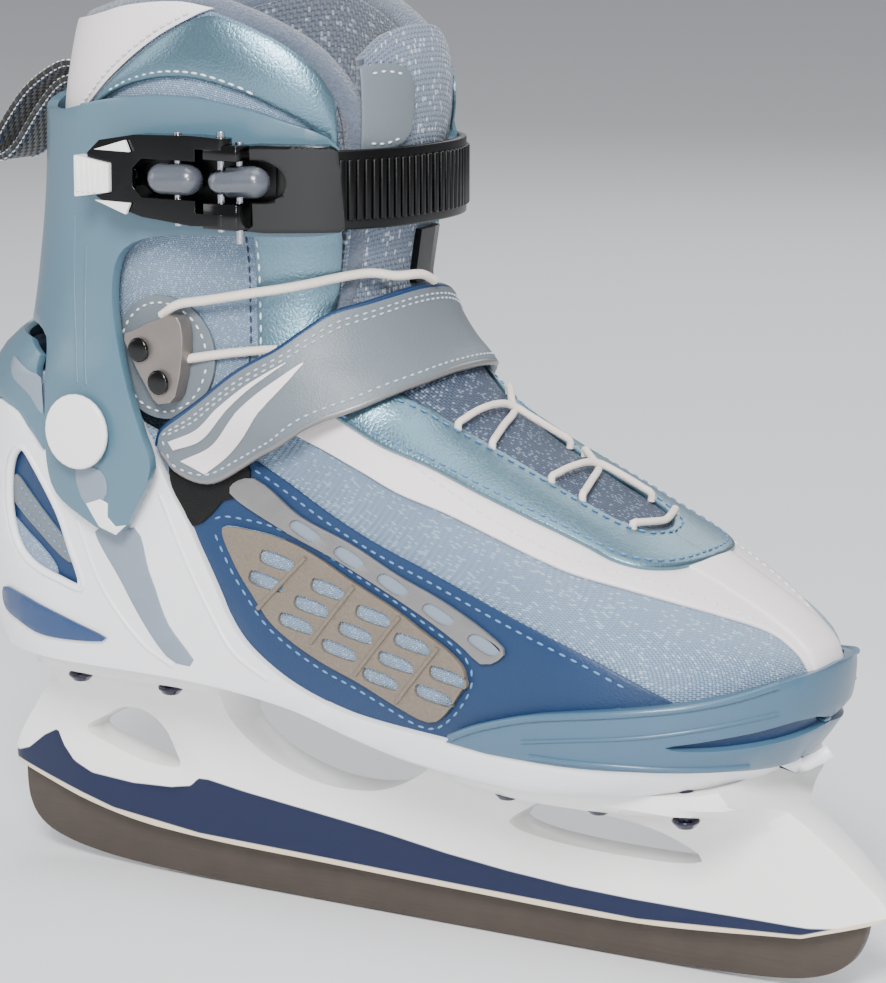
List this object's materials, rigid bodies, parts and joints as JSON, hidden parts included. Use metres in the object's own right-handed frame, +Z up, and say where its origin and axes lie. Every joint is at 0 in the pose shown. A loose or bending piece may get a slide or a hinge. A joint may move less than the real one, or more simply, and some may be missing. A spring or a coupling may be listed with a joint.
{
  "type": "ice skate",
  "caption": "Soft-boot ice skate with a hinged ankle cuff, ratchet buckle, instep strap, lace lock, blade holder and steel runner.",
  "frame": {"origin": "on the ice, at the middle of the runner's flat, on the centre plane", "axes": "+X towards the toe, +Y towards the inner side of a right foot, +Z up"},
  "size_m": [0.289, 0.1091, 0.257],
  "materials": {
    "ankle_quarters": "metallic leather over foam",
    "blade_holder": "glossy white",
    "boot_upper": "coated leather and woven mesh",
    "buckle_base": "gloss black",
    "buckle_lever": "gloss black",
    "buckle_rivet_1": "bright",
    "buckle_rivet_2": "bright",
    "cuff": "satin blue-grey",
    "eyestay": "metallic silver-blue",
    "footbed": "brushed lining",
    "heel_badge": "gloss blue inlay",
    "heel_counter": "satin blue-grey",
    "heel_pull": "webbing",
    "holder_rivet_1": "dark blue domed",
    "holder_rivet_10": "dark blue domed",
    "holder_rivet_2": "dark blue domed",
    "holder_rivet_3": "dark blue domed",
    "holder_rivet_4": "dark blue domed",
    "holder_rivet_5": "dark blue domed",
    "holder_rivet_6": "dark blue domed",
    "holder_rivet_7": "dark blue domed",
    "holder_rivet_8": "dark blue domed",
    "holder_rivet_9": "dark blue domed",
    "instep_strap": "coated leather over foam",
    "lace_cross_1": "woven",
    "lace_cross_2": "woven",
    "lace_guide": "gloss black",
    "lace_lock": "metallic grey",
    "lace_upper": "woven",
    "ladder_rivet_1": "bright",
    "ladder_rivet_2": "bright",
    "ladder_strap": "gloss black",
    "lever_pin": "bright",
    "lever_tab": "white",
    "lever_wedge_lower": "white",
    "lever_wedge_upper": "white",
    "lock_button_1": "gloss black",
    "lock_button_2": "gloss black",
    "lock_patch": "stitched patch",
    "outsole_shell": "satin white",
    "pawl_pin": "bright",
    "pivot_cap_inner": "white",
    "pivot_cap_outer": "white",
    "pivot_pin_inner": "bright",
    "pivot_pin_outer": "bright",
    "release_pawl": "translucent grey",
    "runner": "dull ground steel",
    "runner_bolt_front": "bright",
    "runner_bolt_rear": "bright",
    "side_vent_inner": "metallic grey",
    "side_vent_outer": "metallic grey",
    "strap_anchor": "hook and loop pile",
    "strap_root": "sewn webbing",
    "thumb_button": "translucent grey",
    "thumb_pin": "bright",
    "toe_cap": "satin blue-grey",
    "tongue_label": "stitched patch",
    "tongue_lower": "spacer mesh",
    "tongue_upper": "padded mesh"
  },
  "bodies": {
    "boot": {"blade_holder": "blade_holder", "boot_upper": "boot_upper", "eyestay": "eyestay", "footbed": "footbed", "heel_badge": "heel_badge", "heel_counter": "heel_counter", "holder_rivet_1": "holder_rivet_1", "holder_rivet_10": "holder_rivet_10", "holder_rivet_2": "holder_rivet_2", "holder_rivet_3": "holder_rivet_3", "holder_rivet_4": "holder_rivet_4", "holder_rivet_5": "holder_rivet_5", "holder_rivet_6": "holder_rivet_6", "holder_rivet_7": "holder_rivet_7", "holder_rivet_8": "holder_rivet_8", "holder_rivet_9": "holder_rivet_9", "lace_cross_1": "lace_cross_1", "lace_cross_2": "lace_cross_2", "lace_guide": "lace_guide", "lace_upper": "lace_upper", "outsole_shell": "outsole_shell", "pivot_pin_inner": "pivot_pin_inner", "pivot_pin_outer": "pivot_pin_outer", "runner": "runner", "runner_bolt_front": "runner_bolt_front", "runner_bolt_rear": "runner_bolt_rear", "side_vent_inner": "side_vent_inner", "side_vent_outer": "side_vent_outer", "strap_anchor": "strap_anchor", "strap_root": "strap_root", "toe_cap": "toe_cap", "tongue_label": "tongue_label", "tongue_lower": "tongue_lower", "tongue_upper": "tongue_upper"},
    "cuff": {"cuff": "cuff", "pivot_cap_outer": "pivot_cap_outer", "pivot_cap_inner": "pivot_cap_inner", "ankle_quarters": "ankle_quarters", "heel_pull": "heel_pull", "lock_patch": "lock_patch", "lace_lock": "lace_lock", "lock_button_1": "lock_button_1", "lock_button_2": "lock_button_2", "ladder_strap": "ladder_strap", "ladder_rivet_1": "ladder_rivet_1", "ladder_rivet_2": "ladder_rivet_2", "buckle_base": "buckle_base", "buckle_rivet_1": "buckle_rivet_1", "buckle_rivet_2": "buckle_rivet_2", "lever_pin": "lever_pin", "pawl_pin": "pawl_pin"},
    "lever": {"buckle_lever": "buckle_lever", "thumb_pin": "thumb_pin", "lever_tab": "lever_tab", "lever_wedge_upper": "lever_wedge_upper", "lever_wedge_lower": "lever_wedge_lower"},
    "thumb_button": {"thumb_button": "thumb_button"},
    "release_pawl": {"release_pawl": "release_pawl"},
    "instep_strap": {"instep_strap": "instep_strap"}
  },
  "joints": [
    {"name": "cuff_flex", "type": "hinge", "parent": "boot", "child": "cuff", "pos_m": [-0.083, 0, 0.139], "axis": [0, 1, 0], "range_deg": [0, 4], "stiffness_Nm_per_rad": 12},
    {"name": "lever_swing", "type": "hinge", "parent": "cuff", "child": "lever", "pos_m": [-0.032, -0.05196, 0.211], "axis": [0, 0, 1], "range_deg": [0, 95]},
    {"name": "thumb_button_press", "type": "hinge", "parent": "lever", "child": "thumb_button", "pos_m": [-0.046, -0.05196, 0.211], "axis": [0, 0, 1], "range_deg": [0, 6], "stiffness_Nm_per_rad": 0.05},
    {"name": "pawl_release", "type": "hinge", "parent": "cuff", "child": "release_pawl", "pos_m": [-0.02787, -0.04937, 0.211], "axis": [0, 0, 1], "range_deg": [0, 6], "stiffness_Nm_per_rad": 0.05},
    {"name": "strap_open", "type": "hinge", "parent": "boot", "child": "instep_strap", "pos_m": [0.00225, 0.02645, 0.1631], "axis": [-0.6548, 0, 0.7558], "range_deg": [0, 95]}
  ]
}
